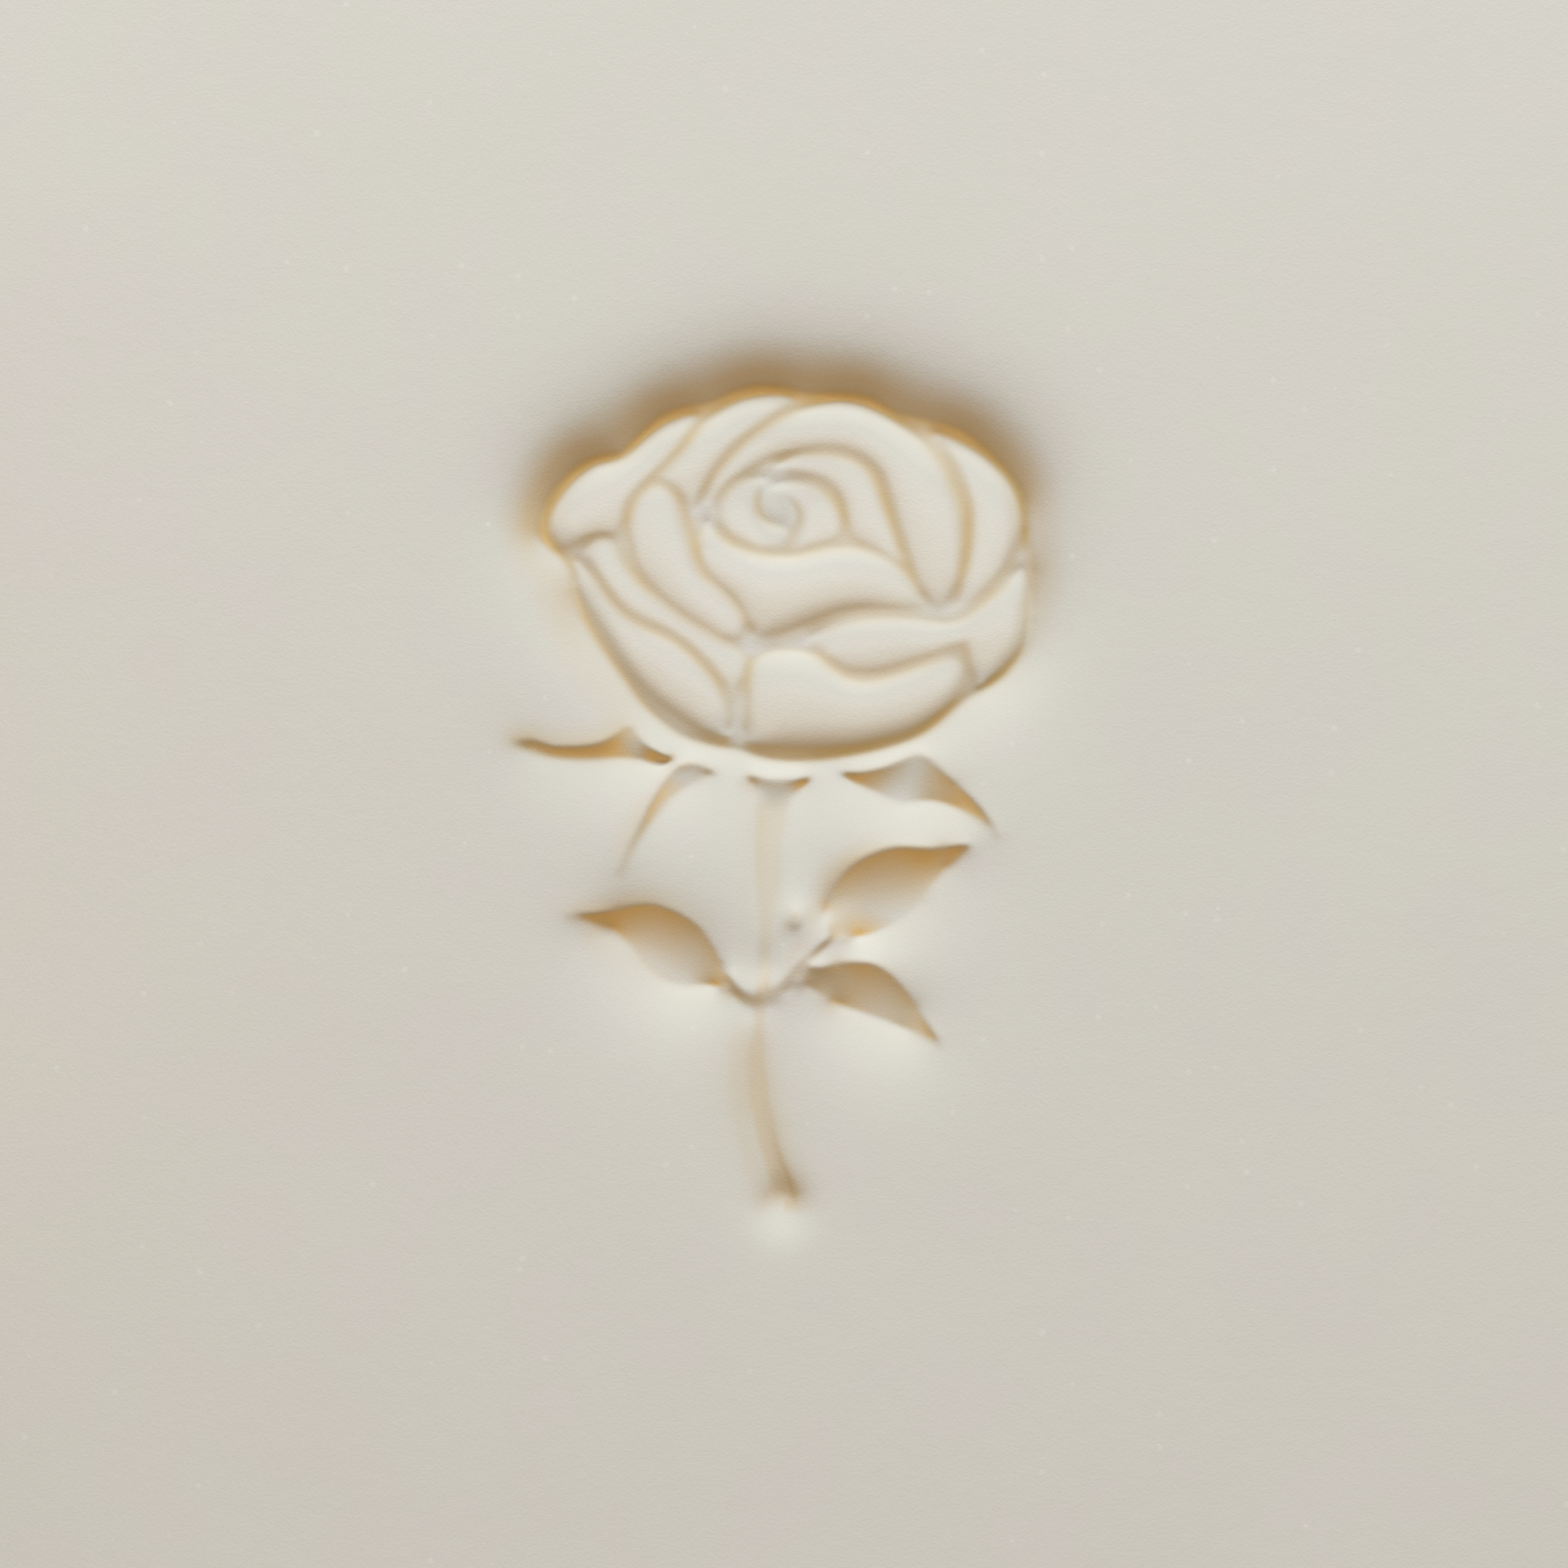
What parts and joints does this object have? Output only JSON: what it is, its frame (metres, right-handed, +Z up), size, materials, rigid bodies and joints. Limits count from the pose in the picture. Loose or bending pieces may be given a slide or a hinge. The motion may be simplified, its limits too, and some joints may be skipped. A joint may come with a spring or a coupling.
{
  "type": "pottery stamp",
  "caption": "Rose relief stamp with a wooden block and a turned handle, laid on the clay slab that carries its pressed mark.",
  "frame": {"origin": "on the flat underside of the clay slab, straight below the middle of the pictured square that holds the pressed rose", "axes": "+Z up out of the slab, +Y towards the top of the pressed rose, +X to its right along the slab's length"},
  "size_m": [0.148, 0.1, 0.0637],
  "materials": {
    "clay": "matte",
    "resin": "satin",
    "beech": "satin",
    "brass": "satin",
    "steel": "satin"
  },
  "bodies": {
    "slab": {"clay_slab": "clay"},
    "stamp": {"rose_die": "resin", "die_screw_1": "brass", "die_screw_2": "brass", "die_screw_3": "brass", "die_screw_4": "brass", "mount_block": "beech", "tee_nut": "steel", "handle_stud": "steel", "rosette_washer": "brass", "ferrule": "brass", "handle_insert": "brass", "handle": "beech", "end_button": "brass"}
  },
  "joints": [
    {"name": "stamp_lift", "type": "slide", "parent": "slab", "child": "stamp", "axis": [0, 0, 1], "range_m": [0, 0.06]}
  ]
}
